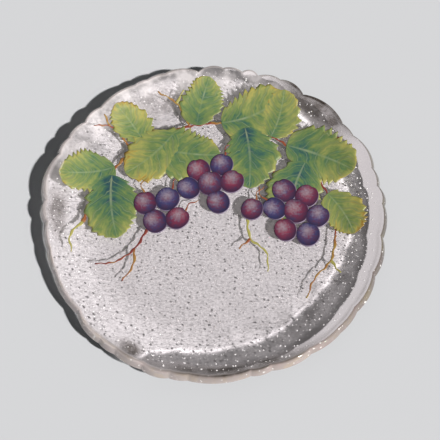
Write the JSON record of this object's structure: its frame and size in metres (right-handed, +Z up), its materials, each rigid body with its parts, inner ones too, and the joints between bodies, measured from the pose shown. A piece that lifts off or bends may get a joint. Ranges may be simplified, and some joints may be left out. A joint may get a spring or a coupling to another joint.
{
  "type": "glass plate",
  "caption": "Shallow round plate of thick clear seedy glass with a curved wall and a lobed, fire-polished rim, painted on its upper face.",
  "frame": {"origin": "centre of the plate's footprint, on the surface it stands on", "axes": "+Z up out of the well; +Y towards the back of the plate, the side the painted garland lies on; +X to the right seen from the front"},
  "size_m": [0.3042, 0.3022, 0.0208],
  "materials": {
    "glass": "clear, glossy, with small bubbles and painted fruit and leaves on the upper face"
  },
  "bodies": {
    "root": {"plate": "glass"}
  },
  "joints": []
}
